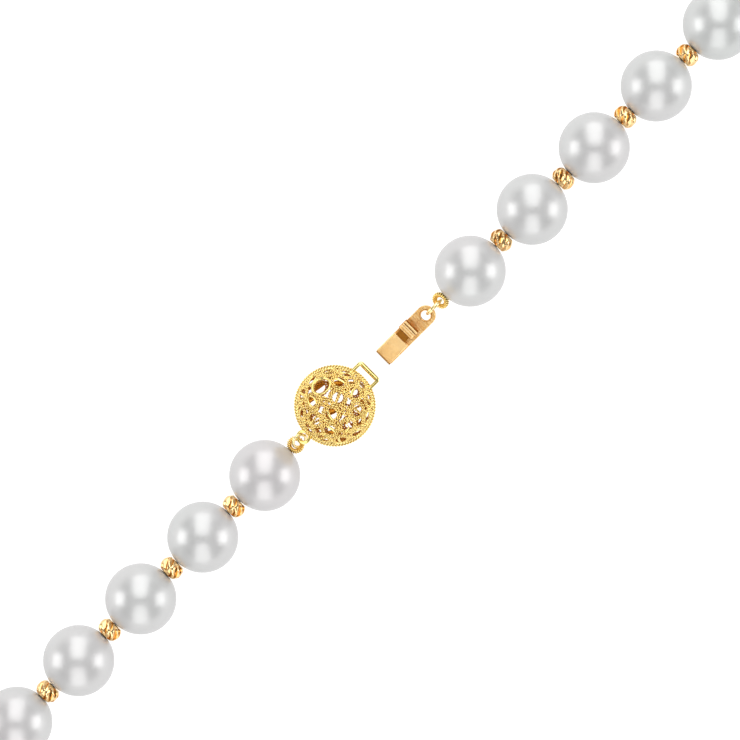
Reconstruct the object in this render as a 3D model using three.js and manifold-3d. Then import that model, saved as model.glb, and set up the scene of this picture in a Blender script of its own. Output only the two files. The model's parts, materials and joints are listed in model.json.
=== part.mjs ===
// A pearl necklace lying open on a table: 43 round pearls with gold spacer beads between them,
// strung on silk, and a filigree ball clasp whose spring tongue is out of the ball.
// Millimetres, +Z up. The clasp stretch runs along X at the front (-Y), and the rest of the
// strand closes an oval behind it. The origin is under the middle of the bounding box.
// "Right" is the tongue side (+X) and "left" is the ball side (-X).

import * as THREE from 'three';
import { mergeVertices } from 'three/addons/utils/BufferGeometryUtils.js';
import Module from 'manifold-3d';

const wasm = await Module();
wasm.setup();

const DEG = Math.PI / 180;
const CUT_GAP = 0.04;

// Pearls, spacer beads and silk
const PEARL_R = 4;
const PEARL_BORE_R = 0.4;
const SPACER_SPACE = 2;
const SPACER_GAP = 0.05;
const SPACER_R = 1.3;
const SPACER_RIM_R = 0.9;
const SPACER_BORE_R = 0.55;
const SILK_R = 0.2;
const SILK_END_GAP = 0.03;

// Strand: pearls on each side of the middle one, and how far it turns at each end of a spacer
const ARM_PEARLS = 21;
const FRONT_PEARLS = 5;
const SECTION_PEARLS = 3;
const BACK_CONTACTS = 14;
const TURN_CONTACTS = 20;
const BACK_BEND = 1.413 * DEG;
const TURN_BEND = (Math.PI - BACK_CONTACTS * BACK_BEND) / TURN_CONTACTS;

// Rings: radius of the wire's centre line, and of the wire
const WIRE_LOOP = { ring: 0.7, wire: 0.25 };
const JUMP_RING_RIGHT = { ring: 1.065, wire: 0.235 };
const JUMP_RING_LEFT = { ring: 0.82, wire: 0.18 };
const BALL_RING = { ring: 0.69, wire: 0.18 };
const LOOP_MOUTH_GAP = 0.03;
const LOOP_DROOP_RIGHT = 40 * DEG;
const LOOP_DROOP_LEFT = 8 * DEG;

// Ball of the clasp, from the left wire loop's mouth, and its shell
const BALL_OUT = 7.31;
const BALL_R = 4.5;
const BALL_WALL = 0.5;
const BAND_R = 4.68;
const BAND_INNER_R = 4.1;
const BAND_HALF_HEIGHT = 0.2;
const BALL_RING_OUT = 2.265;
const WINDOW_R = 0.75;
const WINDOW_COUNT = 6;
const WINDOW_TILT = 42 * DEG;

// Slot plate and keeper frame on the ball's open side, from the ball's centre
const PLATE = { near: 3.7, far: 4, halfWidth: 1.6, bottom: -1.5, top: -0.24 };
const SLOT = { halfWidth: 1.2, bottom: -1.2, top: -0.36 };
const NOTCH_GAP = 0.05;
const KEEPER = { reach: 5.81, halfWidth: 1.55, side: 0.3, bar: 0.39, bottom: 0.02, top: 0.38 };

// Tongue: one strip folded at its tip into a base and a springy leaf; lengths are from the tip
const TONGUE_TIP_FROM_MOUTH = 10.03;
const TONGUE_TILT = 17 * DEG;
const TONGUE_LIFT = 0.02;
const BASE = { halfWidth: 1.15, thick: 0.35, hole: 7.28, holeR: 0.75 };
const LEAF = { halfWidth: 1.07, thick: 0.28, start: 0.06, shoulder: 3.45, neckEnd: 4.1, end: 5.5 };
const LEAF_NECK_HALF_WIDTH = 0.55;
const LEAF_UNDERSIDE = 0.42;
const LEAF_OPEN = 9.5 * DEG;
const LEAF_HINGE = 0.25;
const TAB_CURL = { start: 5, rise: 0.75 };

// Middles of the jump rings, from the mouth of the first pearl on their side
const JUMP_RING_RIGHT_CENTRE = new THREE.Vector3(-1.765, 0, 2.72);
const JUMP_RING_LEFT_CENTRE = new THREE.Vector3(1.605, 0, 4.17);

// Facets of the round pieces
const PEARL_SEGMENTS = 12;
const PEARL_ARCS = 8;
const SPACER_SEGMENTS = 10;
const SECTION_SEGMENTS = 8;
const SECTION_ARCS = 6;
const SECTION_SPACER_SEGMENTS = 6;
const SECTION_OVERLAP = 0.4;
const SILK_SEGMENTS = 6;
const DOME_SEGMENTS = 12;
const DOME_ARCS = 4;

const finish = (color, roughness, metalness) => ({ color, roughness, metalness });
const NACRE = finish(0xeae8e6, 0.25, 0);
const GOLD = finish(0xd8ad62, 0.3, 1);
const CUT_GOLD = finish(0xcf9f5e, 0.2, 1);
const TONGUE_GOLD = finish(0xdcb67a, 0.35, 1);
const SILK = finish(0xf2efe6, 0.8, 0);

const strand = new THREE.Group();

function addPiece(name, geometry, look, place = new THREE.Group(), parent = strand) {
  const mesh = new THREE.Mesh(geometry, new THREE.MeshStandardMaterial(look));
  mesh.name = name;
  place.add(mesh);
  parent.add(place);
}

// A turned piece whose axis is X; its profile is a list of [distance along X, radius]
function turned(profile, segments) {
  const points = profile.map(([along, radius]) => new THREE.Vector2(radius, along));
  const geometry = new THREE.LatheGeometry(points, segments);
  return geometry.rotateZ(-Math.PI / 2);
}

function solidOf(geometry) {
  const bare = geometry.clone();
  bare.deleteAttribute('normal');
  bare.deleteAttribute('uv');
  const merged = mergeVertices(bare, 1e-5);
  const vertProperties = new Float32Array(merged.attributes.position.array);
  const triVerts = new Uint32Array(merged.index.array);
  return new wasm.Manifold(new wasm.Mesh({ numProp: 3, vertProperties, triVerts }));
}

function geometryOf(solid) {
  const mesh = solid.getMesh();
  const geometry = new THREE.BufferGeometry();
  geometry.setAttribute('position', new THREE.BufferAttribute(mesh.vertProperties, 3));
  geometry.setIndex(new THREE.BufferAttribute(mesh.triVerts, 1));
  geometry.computeVertexNormals();
  return geometry;
}

function boxBetween(low, high) {
  const size = high.map((value, i) => value - low[i]);
  const middle = high.map((value, i) => (value + low[i]) / 2);
  return new THREE.BoxGeometry(...size).translate(...middle);
}

// Every bead's place on one side of the necklace, from the middle pearl round to the clasp
function walkArm() {
  const pearls = [];
  const spacers = [];
  const at = new THREE.Vector2(PEARL_R, 0);
  let heading = 0;
  let contact = 0;
  const turn = () => {
    const bend = contact < BACK_CONTACTS ? BACK_BEND : TURN_BEND;
    contact += 1;
    heading -= contact > BACK_CONTACTS + TURN_CONTACTS ? 0 : bend;
  };
  const step = (length, places) => {
    const ahead = new THREE.Vector2(Math.cos(heading), Math.sin(heading));
    places.push({ at: at.clone().addScaledVector(ahead, length / 2), heading });
    at.addScaledVector(ahead, length);
  };
  for (let i = 0; i < ARM_PEARLS; i += 1) {
    turn();
    step(SPACER_SPACE, spacers);
    turn();
    step(2 * PEARL_R, pearls);
  }
  const front = at.y;
  for (const place of [...pearls, ...spacers]) {
    place.at.y -= front;
  }
  return { pearls, spacers, front };
}

// All the beads in one row, numbered from the tongue's end: pearls 1 to 43, and the spacer
// after each pearl. A bead's heading points away from the middle pearl on both sides.
function layStrand() {
  const arm = walkArm();
  const count = 2 * ARM_PEARLS + 1;
  const mirrored = ({ at, heading }) => ({
    at: new THREE.Vector2(-at.x, at.y),
    heading: Math.PI - heading,
  });
  const middle = { at: new THREE.Vector2(0, -arm.front), heading: 0 };
  const pearls = new Map([[ARM_PEARLS + 1, middle]]);
  const spacers = new Map();
  for (let i = 0; i < ARM_PEARLS; i += 1) {
    const number = ARM_PEARLS - i;
    pearls.set(number, arm.pearls[i]);
    spacers.set(number, arm.spacers[i]);
    pearls.set(count + 1 - number, mirrored(arm.pearls[i]));
    spacers.set(count - number, mirrored(arm.spacers[i]));
  }
  return { pearls, spacers, count };
}

function placeOf({ at, heading }) {
  const place = new THREE.Group();
  place.position.set(at.x, at.y, PEARL_R);
  place.rotation.z = heading;
  return place;
}

// From one pole to the other along a half circle, as [along, radius]
function pearlArc(arcs, mouthR) {
  const start = Math.asin(mouthR / PEARL_R);
  const points = [];
  for (let i = 0; i <= arcs; i += 1) {
    const angle = start + ((Math.PI - 2 * start) * i) / arcs;
    points.push([-PEARL_R * Math.cos(angle), PEARL_R * Math.sin(angle)]);
  }
  return points;
}

function pearl() {
  const outside = pearlArc(PEARL_ARCS, PEARL_BORE_R);
  return turned([...outside, outside[0]], PEARL_SEGMENTS);
}

function spacer() {
  const half = SPACER_SPACE / 2 - SPACER_GAP;
  const profile = [
    [-half, SPACER_BORE_R],
    [-half, SPACER_RIM_R],
    [-half / 3, SPACER_R],
    [half / 3, SPACER_R],
    [half, SPACER_RIM_R],
    [half, SPACER_BORE_R],
    [-half, SPACER_BORE_R],
  ];
  return turned(profile, SPACER_SEGMENTS);
}

// The silk of one link: through the pearl, and through the spacer on the middle pearl's side
function silk() {
  const start = -PEARL_R - SPACER_SPACE + SILK_END_GAP;
  const end = PEARL_R - SILK_END_GAP;
  return turned([[start, 0], [start, SILK_R], [end, SILK_R], [end, 0]], SILK_SEGMENTS);
}

// A spacer without its bore, which reaches into each neighbouring pearl of its own section
function joiningSpacer(before, after) {
  const half = SPACER_SPACE / 2 - SPACER_GAP;
  const start = -half - (before ? SECTION_OVERLAP : 0);
  const end = half + (after ? SECTION_OVERLAP : 0);
  const profile = [
    [start, 0],
    [start, SPACER_RIM_R],
    [-half / 3, SPACER_R],
    [half / 3, SPACER_R],
    [end, SPACER_RIM_R],
    [end, 0],
  ];
  return turned(profile, SECTION_SPACER_SEGMENTS);
}

// Three pearls and the spacers next to them, joined into one solid. Their headings point away
// from the middle pearl, so a spacer's far end is at its lower-numbered pearl on the right.
function section(numbers, beads) {
  const solids = [];
  const add = (geometry, place) => {
    geometry.rotateZ(place.heading).translate(place.at.x, place.at.y, PEARL_R);
    solids.push(solidOf(geometry));
  };
  const profile = pearlArc(SECTION_ARCS, 0);
  for (const number of numbers.pearls) {
    add(turned(profile, SECTION_SEGMENTS), beads.pearls.get(number));
  }
  for (const number of numbers.spacers) {
    const joined = [number, number + 1].map((next) => numbers.pearls.includes(next));
    const right = number <= ARM_PEARLS;
    const [after, before] = right ? joined : joined.reverse();
    add(joiningSpacer(before, after), beads.spacers.get(number));
  }
  return geometryOf(solids.reduce((sum, solid) => sum.add(solid)));
}

function ring({ ring: radius, wire }) {
  return new THREE.TorusGeometry(radius, wire, 6, 16);
}

// A loop or ring that lies flat and then droops by an angle about Y
function flatRing(size, centre, droop) {
  const place = new THREE.Group();
  place.position.copy(centre);
  place.rotation.y = droop;
  return { geometry: ring(size), place };
}

// A ring that stands on its edge along the strand
function uprightRing(size, centre) {
  const place = new THREE.Group();
  place.position.copy(centre);
  place.rotation.x = Math.PI / 2;
  return { geometry: ring(size), place };
}

function loopCentre(mouth, side, droop) {
  const reach = LOOP_MOUTH_GAP + WIRE_LOOP.ring + WIRE_LOOP.wire;
  return new THREE.Vector3(
    mouth.x + side * reach * Math.cos(droop),
    0,
    mouth.z - reach * Math.sin(droop),
  );
}

// Half of the ball's shell about its own centre, with round windows
function dome(side) {
  const outer = [];
  const inner = [];
  const lift = BAND_HALF_HEIGHT + CUT_GAP;
  const arcs = DOME_ARCS;
  for (let i = 0; i <= arcs; i += 1) {
    for (const [points, radius] of [[outer, BALL_R], [inner, BALL_R - BALL_WALL]]) {
      const start = Math.asin(lift / radius);
      const angle = start + ((Math.PI / 2 - start) * i) / arcs;
      points.push(new THREE.Vector2(radius * Math.cos(angle), radius * Math.sin(angle)));
    }
  }
  const profile = [...outer, ...inner.reverse(), outer[0]];
  const shell = new THREE.LatheGeometry(profile, DOME_SEGMENTS).rotateX(Math.PI / 2);
  let solid = solidOf(shell);
  for (let i = 0; i < WINDOW_COUNT; i += 1) {
    const window = new THREE.CylinderGeometry(WINDOW_R, WINDOW_R, BALL_R, 6);
    window.translate(0, BALL_R, 0).rotateZ(WINDOW_TILT - Math.PI / 2).rotateX(Math.PI / 2);
    solid = solid.subtract(solidOf(window.rotateZ(((2 * i + 1) * Math.PI) / WINDOW_COUNT)));
  }
  if (side > 0) {
    return solid;
  }
  const low = solid.rotate([180, 0, 0]);
  const notch = boxBetween(
    [PLATE.near - NOTCH_GAP, -PLATE.halfWidth - NOTCH_GAP, PLATE.bottom - NOTCH_GAP],
    [2 * BALL_R, PLATE.halfWidth + NOTCH_GAP, BALL_R],
  );
  return low.subtract(solidOf(notch));
}

function seamBand() {
  const belly = (BAND_R + BAND_INNER_R) / 2;
  const profile = [
    [belly, -BAND_HALF_HEIGHT],
    [BAND_R, -BAND_HALF_HEIGHT / 2],
    [BAND_R, BAND_HALF_HEIGHT / 2],
    [belly, BAND_HALF_HEIGHT],
    [BAND_INNER_R, 0],
    [belly, -BAND_HALF_HEIGHT],
  ];
  const points = profile.map(([radius, z]) => new THREE.Vector2(radius, z));
  return new THREE.LatheGeometry(points, 24).rotateX(Math.PI / 2);
}

function slotPlate() {
  const plate = solidOf(boxBetween(
    [PLATE.near, -PLATE.halfWidth, PLATE.bottom],
    [PLATE.far, PLATE.halfWidth, PLATE.top],
  ));
  const slot = solidOf(boxBetween(
    [PLATE.near - 1, -SLOT.halfWidth, SLOT.bottom],
    [PLATE.far + 1, SLOT.halfWidth, SLOT.top],
  ));
  return geometryOf(plate.subtract(slot));
}

// A cylinder as wide as the seam band, which trims the pieces soldered against it
function ballTrim() {
  const radius = BAND_R + CUT_GAP;
  return solidOf(new THREE.CylinderGeometry(radius, radius, 2 * BALL_R, 48).rotateX(Math.PI / 2));
}

function keeperFrame() {
  const outer = solidOf(boxBetween(
    [BALL_R / 2, -KEEPER.halfWidth, KEEPER.bottom],
    [KEEPER.reach, KEEPER.halfWidth, KEEPER.top],
  ));
  const opening = solidOf(boxBetween(
    [0, -KEEPER.halfWidth + KEEPER.side, KEEPER.bottom - 1],
    [KEEPER.reach - KEEPER.bar, KEEPER.halfWidth - KEEPER.side, KEEPER.top + 1],
  ));
  return geometryOf(outer.subtract(opening).subtract(ballTrim()));
}

function ballRing() {
  const flat = ring(BALL_RING).translate(BALL_RING_OUT - BALL_OUT, 0, 0);
  return geometryOf(solidOf(flat).subtract(ballTrim()));
}

function tongueBase() {
  const corner = 0.35;
  const half = BASE.halfWidth;
  const outline = new THREE.Shape();
  outline.moveTo(0, -half + corner);
  outline.absarc(corner, -half + corner, corner, Math.PI, 1.5 * Math.PI);
  outline.absarc(BASE.hole, 0, half, -Math.PI / 2, Math.PI / 2);
  outline.absarc(corner, half - corner, corner, Math.PI / 2, Math.PI);
  outline.closePath();
  const hole = new THREE.Path();
  hole.absarc(BASE.hole, 0, BASE.holeR, 0, 2 * Math.PI, true);
  outline.holes.push(hole);
  const options = { depth: BASE.thick, bevelEnabled: false, curveSegments: 8 };
  return new THREE.ExtrudeGeometry(outline, options);
}

// The leaf pressed flat; its hinge is the fold at the tongue's tip
function tongueLeaf() {
  const neck = LEAF_NECK_HALF_WIDTH;
  const half = LEAF.halfWidth;
  const edge = [
    [LEAF.start, half],
    [LEAF.shoulder, half],
    [LEAF.shoulder, neck],
    [LEAF.neckEnd, neck],
    [LEAF.neckEnd, half],
    [LEAF.end, half],
  ];
  const mirrored = edge.map(([along, across]) => [along, -across]).reverse();
  const outline = new THREE.Shape([...edge, ...mirrored].map(([x, y]) => new THREE.Vector2(x, y)));
  const plate = new THREE.ExtrudeGeometry(outline, { depth: LEAF.thick, bevelEnabled: false });
  const side = new THREE.Shape();
  const curl = (LEAF.end - TAB_CURL.start) / 2;
  side.moveTo(TAB_CURL.start, 0);
  side.lineTo(LEAF.end, 0);
  side.lineTo(LEAF.end, TAB_CURL.rise - curl);
  side.absarc(LEAF.end - curl, TAB_CURL.rise - curl, curl, 0, Math.PI);
  side.closePath();
  const tab = new THREE.ExtrudeGeometry(side, {
    depth: 2 * half,
    bevelEnabled: false,
    curveSegments: 6,
  });
  tab.rotateX(Math.PI / 2).translate(0, half, 0);
  return geometryOf(solidOf(plate).add(solidOf(tab)));
}

function addFrontBeads(beads) {
  for (let n = 1; n <= FRONT_PEARLS; n += 1) {
    const sides = [
      ['right', n, n],
      ['left', beads.count + 1 - n, beads.count - n],
    ];
    for (const [side, pearlNumber, spacerNumber] of sides) {
      const place = beads.pearls.get(pearlNumber);
      addPiece(`pearl_${side}_${n}`, pearl(), NACRE, placeOf(place));
      addPiece(`spacer_${side}_${n}`, spacer(), CUT_GOLD, placeOf(beads.spacers.get(spacerNumber)));
      addPiece(`silk_${side}_${n}`, silk(), SILK, placeOf(place));
    }
  }
}

function addBackSections(beads) {
  const first = FRONT_PEARLS + 1;
  const sections = (beads.count - 2 * FRONT_PEARLS) / SECTION_PEARLS;
  for (let k = 0; k < sections; k += 1) {
    const low = first + SECTION_PEARLS * k;
    const pearls = Array.from({ length: SECTION_PEARLS }, (_, i) => low + i);
    const spacers = pearls.slice(0, -1);
    if (pearls.at(-1) < ARM_PEARLS + 1) {
      spacers.push(pearls.at(-1));
    }
    if (low > ARM_PEARLS + 1) {
      spacers.push(low - 1);
    }
    const name = `strand_section_${String(k + 1).padStart(2, '0')}`;
    addPiece(name, section({ pearls, spacers }, beads), NACRE);
  }
}

function addTongueSide(mouth) {
  const loop = flatRing(
    WIRE_LOOP,
    loopCentre(mouth, -1, LOOP_DROOP_RIGHT),
    -LOOP_DROOP_RIGHT,
  );
  addPiece('wire_loop_right', loop.geometry, GOLD, loop.place);
  const centre = JUMP_RING_RIGHT_CENTRE.clone().add(new THREE.Vector3(mouth.x, 0, 0));
  const jump = uprightRing(JUMP_RING_RIGHT, centre);
  addPiece('jump_ring_right', jump.geometry, GOLD, jump.place);
  const tongue = new THREE.Group();
  tongue.position.set(mouth.x - TONGUE_TIP_FROM_MOUTH, 0, TONGUE_LIFT);
  tongue.rotation.y = -TONGUE_TILT;
  addPiece('tongue_base', tongueBase(), TONGUE_GOLD, tongue);
  const leaf = new THREE.Group();
  const height = LEAF_UNDERSIDE + LEAF.thick / 2;
  leaf.position.set(LEAF_HINGE, 0, height);
  leaf.rotation.y = -LEAF_OPEN;
  const leafSheet = tongueLeaf().translate(-LEAF_HINGE, 0, -LEAF.thick / 2);
  addPiece('tongue_leaf', leafSheet, TONGUE_GOLD, leaf, tongue);
}

function addBallSide(mouth) {
  const loop = flatRing(WIRE_LOOP, loopCentre(mouth, 1, LOOP_DROOP_LEFT), LOOP_DROOP_LEFT);
  addPiece('wire_loop_left', loop.geometry, GOLD, loop.place);
  const centre = JUMP_RING_LEFT_CENTRE.clone().add(new THREE.Vector3(mouth.x, 0, 0));
  const jump = uprightRing(JUMP_RING_LEFT, centre);
  addPiece('jump_ring_left', jump.geometry, GOLD, jump.place);
  const ball = new THREE.Group();
  ball.position.set(mouth.x + BALL_OUT, 0, BALL_R);
  addPiece('ball_ring', ballRing(), GOLD, ball);
  addPiece('filigree_dome_upper', geometryOf(dome(1)), GOLD, ball);
  addPiece('filigree_dome_lower', geometryOf(dome(-1)), GOLD, ball);
  addPiece('seam_band', seamBand(), GOLD, ball);
  addPiece('slot_plate', slotPlate(), GOLD, ball);
  addPiece('keeper_frame', keeperFrame(), GOLD, ball);
}

const beads = layStrand();
const mouthX = beads.pearls.get(1).at.x - PEARL_R;
addFrontBeads(beads);
addBackSections(beads);
addTongueSide(new THREE.Vector3(mouthX, 0, PEARL_R));
addBallSide(new THREE.Vector3(-mouthX, 0, PEARL_R));

const necklace = new THREE.Group();
necklace.add(strand);
necklace.updateMatrixWorld(true);
const extent = new THREE.Box3().setFromObject(strand, true);
strand.position.set(-(extent.min.x + extent.max.x) / 2, -(extent.min.y + extent.max.y) / 2, -extent.min.z);
necklace.updateMatrixWorld(true);

export default necklace;
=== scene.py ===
"""Looks of a pearl necklace with gold spacer beads and an undone filigree ball clasp.

Shapes are made in millimetres in the row frame (+X from the ball towards the tongue, +Z up),
and a piece is scaled to metres as it becomes a Blender object.
"""

import json
import math
import random

import bpy
import numpy as np
from mathutils import Matrix, Vector

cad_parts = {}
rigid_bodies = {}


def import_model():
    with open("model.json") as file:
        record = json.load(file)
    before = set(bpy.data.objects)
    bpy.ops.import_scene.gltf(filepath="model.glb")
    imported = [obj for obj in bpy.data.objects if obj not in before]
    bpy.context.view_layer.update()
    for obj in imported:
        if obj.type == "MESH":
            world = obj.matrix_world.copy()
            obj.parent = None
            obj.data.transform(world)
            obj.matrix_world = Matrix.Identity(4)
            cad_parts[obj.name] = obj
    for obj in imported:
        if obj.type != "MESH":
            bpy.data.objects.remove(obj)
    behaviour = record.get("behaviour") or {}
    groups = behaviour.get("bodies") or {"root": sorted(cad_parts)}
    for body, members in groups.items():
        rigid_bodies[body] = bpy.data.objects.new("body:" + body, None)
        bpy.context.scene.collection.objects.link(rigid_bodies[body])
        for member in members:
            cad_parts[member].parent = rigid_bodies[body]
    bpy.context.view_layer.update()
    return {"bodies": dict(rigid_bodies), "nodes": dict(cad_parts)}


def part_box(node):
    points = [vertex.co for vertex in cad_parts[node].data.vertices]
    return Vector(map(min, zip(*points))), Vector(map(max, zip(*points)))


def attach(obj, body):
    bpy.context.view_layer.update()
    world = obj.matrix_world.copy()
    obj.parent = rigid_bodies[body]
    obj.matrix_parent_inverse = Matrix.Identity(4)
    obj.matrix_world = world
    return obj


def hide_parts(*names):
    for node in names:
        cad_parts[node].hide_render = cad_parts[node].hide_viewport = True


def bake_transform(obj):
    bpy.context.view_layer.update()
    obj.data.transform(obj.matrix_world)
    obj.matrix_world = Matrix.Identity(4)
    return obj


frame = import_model()

MM = 0.001
TAU = 2 * math.pi

# Beads and silk. The spacer beads are a little fuller than the CAD solids.
PEARL_R = 4.0
SPACER_SPACE = 2.0
SPACER_R = 1.38
SPACER_RIM_R = 0.94
SPACER_BORE_R = 0.5
SILK_R = 0.2

# How the strand lies, as in the CAD model. On each side of the middle pearl it bends a little at
# each contact of two beads, then more at the turn, and is straight by the clasp.
ARM_PEARLS = 21
FRONT_PEARLS = 5
SECTION_PEARLS = 3
BACK_CONTACTS = 14
TURN_CONTACTS = 20
BACK_BEND = math.radians(1.413)
TURN_BEND = (math.pi - BACK_CONTACTS * BACK_BEND) / TURN_CONTACTS

# The pearls by the clasp are a little fuller than the CAD solids too, and are lifted to lie as low
FRONT_PEARL_SCALE = 1.02
FRONT_PEARL_LIFT = 0.06

# Clasp, as in the CAD model
TONGUE_TILT = math.radians(17)
LEAF_OPEN = math.radians(9.5)
LOOP_DROOP = {"right": math.radians(40), "left": math.radians(8)}
LOOP_RING_R = 0.7
BALL_R = 4.5


# ---------------------------------------------------------------- surfaces


class Surface:
    """Points in millimetres, the shade painted on each one's metal, and faces. It grows as shapes are
    added.
    """

    def __init__(self):
        self.points = []
        self.painted_shades = []
        self.faces = []
        self.count = 0

    def add(self, points, faces, painted_shade=0.0):
        points = np.asarray(points, float).reshape(-1, 3)
        self.points.append(points)
        self.painted_shades.append(np.broadcast_to(np.asarray(painted_shade, float), (len(points),)))
        self.faces += [tuple(i + self.count for i in face) for face in faces]
        self.count += len(points)
        return self

    def moved(self, matrix):
        turn = np.array(matrix.to_3x3())
        shift = np.array(matrix.to_translation())
        out = Surface()
        out.points = [p @ turn.T + shift for p in self.points]
        out.painted_shades = list(self.painted_shades)
        out.faces = list(self.faces)
        out.count = self.count
        return out

    # one painted shade all over the surface
    def in_painted_shade(self, painted_shade):
        self.painted_shades = [np.full(self.count, painted_shade)]
        return self

    def join(self, other, matrix=None):
        other = other.moved(matrix) if matrix else other
        return self.add(np.concatenate(other.points), other.faces, np.concatenate(other.painted_shades))


def grid_faces(rows, columns, wrap_rows, wrap_columns):
    faces = []
    for i in range(rows if wrap_rows else rows - 1):
        for j in range(columns if wrap_columns else columns - 1):
            a, b = i, (i + 1) % rows
            c, d = j, (j + 1) % columns
            faces.append((a * columns + c, b * columns + c, b * columns + d, a * columns + d))
    return faces


def tube_faces(rows, sides, closed):
    """Faces of a tube of rings, with a face at each end unless the tube closes on itself."""
    faces = grid_faces(rows, sides, closed, True)
    if not closed:
        faces.append(tuple(range(sides)))
        faces.append(tuple(reversed(range((rows - 1) * sides, rows * sides))))
    return faces


def turned_over(faces):
    return [tuple(reversed(face)) for face in faces]


def turned(profile, segments):
    """A closed profile of (along X, radius) turned about X. It runs along +X on its outside."""
    angles = np.arange(segments) * TAU / segments
    points = [
        (x, r * math.cos(a), r * math.sin(a)) for x, r in profile for a in angles
    ]
    return Surface().add(points, turned_over(tube_faces(len(profile), segments, True)))


def path_frames(path, ups, closed):
    """Unit vectors across each point of a path: away along ups, and sideways."""
    path = np.asarray(path, float)
    if closed:
        ahead = np.roll(path, -1, axis=0) - np.roll(path, 1, axis=0)
    else:
        ahead = np.gradient(path, axis=0)
    ahead /= np.linalg.norm(ahead, axis=1)[:, None]
    ups = np.broadcast_to(np.asarray(ups, float), path.shape)
    side = np.cross(ups, ahead)
    side /= np.linalg.norm(side, axis=1)[:, None]
    return np.cross(ahead, side), side


def lengths_along(path, closed):
    path = np.asarray(path, float)
    steps = np.linalg.norm(np.diff(path, axis=0), axis=1)
    total = steps.sum() + (np.linalg.norm(path[0] - path[-1]) if closed else 0)
    return np.concatenate([[0], np.cumsum(steps)]), total


def swept(path, ups, outline, closed, painted_shade=None):
    """A tube whose outline(i) gives cross-section points as (up, side) at each path point.

    If given, the last argument says how much shade is painted on each of those points, for each i.
    """
    path = np.asarray(path, float)
    up, side = path_frames(path, ups, closed)
    rings = []
    for i in range(len(path)):
        section = np.asarray(outline(i))
        rings.append(path[i] + section[:, :1] * up[i] + section[:, 1:] * side[i])
    faces = tube_faces(len(path), len(rings[0]), closed)
    painted_shades = 0.0 if painted_shade is None else np.concatenate([painted_shade(i) for i in range(len(path))])
    return Surface().add(np.concatenate(rings), faces, painted_shades)


def round_section(radius, sides, flat=1.0):
    angles = np.arange(sides) * TAU / sides
    return np.stack([radius * flat * np.cos(angles), radius * np.sin(angles)], axis=1)


def wire(path, ups, radius, sides=8, closed=False, flat=1.0):
    section = round_section(radius, sides, flat)
    return swept(path, ups, lambda i: section, closed)


def rope(path, ups, radius, pitch, closed=False, lobes=2, sides=10, inside=0.0):
    """Strands twisted together: the section has lobes, and turns once in each pitch.

    Shade is painted into the grooves between the strands, and, as much as inside says, on the side
    away from ups.
    """
    waist = 0.35
    groove_start, groove_fade = 0.62, 0.35
    along, total = lengths_along(path, closed)
    turns = max(1, round(total / pitch)) if closed else total / pitch
    angles = np.arange(sides) * TAU / sides
    away_from_ups = np.clip(0.6 - 1.5 * np.cos(angles), 0, 1)

    def lobe(i):
        twist = TAU * turns * along[i] / total
        return np.abs(np.cos((angles - twist) * lobes / 2))

    def outline(i):
        reach = radius * np.maximum(lobe(i), waist)
        return np.stack([reach * np.cos(angles), reach * np.sin(angles)], axis=1)

    # painted shade, in the grooves and on the side away from ups
    def painted_shade(i):
        groove = np.clip((groove_start - lobe(i)) / groove_fade, 0, 1)
        return np.maximum(groove, inside * away_from_ups)

    return swept(path, ups, outline, closed, painted_shade)


def plate(outline, thickness, holes=(), bevel=0.04):
    """A flat sheet from z = 0 up, with its edges rounded over, from closed lists of (x, y)."""
    curve = bpy.data.curves.new("plate", "CURVE")
    curve.dimensions = "2D"
    curve.fill_mode = "BOTH"
    curve.extrude = thickness / 2 - bevel
    curve.bevel_depth = bevel
    curve.bevel_resolution = 2
    curve.offset = -bevel
    for loop in (outline, *holes):
        spline = curve.splines.new("POLY")
        spline.points.add(len(loop) - 1)
        for point, (x, y) in zip(spline.points, loop):
            point.co = (x, y, 0, 1)
        spline.use_cyclic_u = True
    maker = bpy.data.objects.new("plate", curve)
    bpy.context.scene.collection.objects.link(maker)
    mesh = maker.evaluated_get(bpy.context.evaluated_depsgraph_get()).to_mesh()
    points = [(v.co.x, v.co.y, v.co.z + thickness / 2) for v in mesh.vertices]
    faces = [tuple(p.vertices) for p in mesh.polygons]
    bpy.data.objects.remove(maker)
    bpy.data.curves.remove(curve)
    return Surface().add(points, faces)


def arc(centre, radius, start, end, steps):
    turns = np.linspace(start, end, steps + 1)
    return [(centre[0] + radius * math.cos(a), centre[1] + radius * math.sin(a)) for a in turns]


def circle(radius, steps):
    return [(radius * math.cos(a), radius * math.sin(a)) for a in np.arange(steps) * TAU / steps]


def make_piece(name, surface, material, body, sharp=None, stands_for=()):
    """A Blender object of a surface, riding on its body if it has one, with sharp edges kept."""
    mesh = bpy.data.meshes.new(name)
    mesh.from_pydata((np.concatenate(surface.points) * MM).tolist(), [], surface.faces)
    mesh.validate()
    # the shade painted on each point, which the gold materials read
    painted_shade = mesh.attributes.new("painted_shade", "FLOAT", "POINT")
    painted_shade.data.foreach_set("value", np.concatenate(surface.painted_shades).astype(np.float32))
    mesh.materials.append(material)
    for polygon in mesh.polygons:
        polygon.use_smooth = True
    if sharp is not None:
        mesh.set_sharp_from_angle(angle=sharp)
    piece = bpy.data.objects.new(name, mesh)
    bpy.context.scene.collection.objects.link(piece)
    if body:
        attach(piece, body)
    if stands_for:
        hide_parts(*stands_for)
    return piece


# ---------------------------------------------------------------- materials


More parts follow.
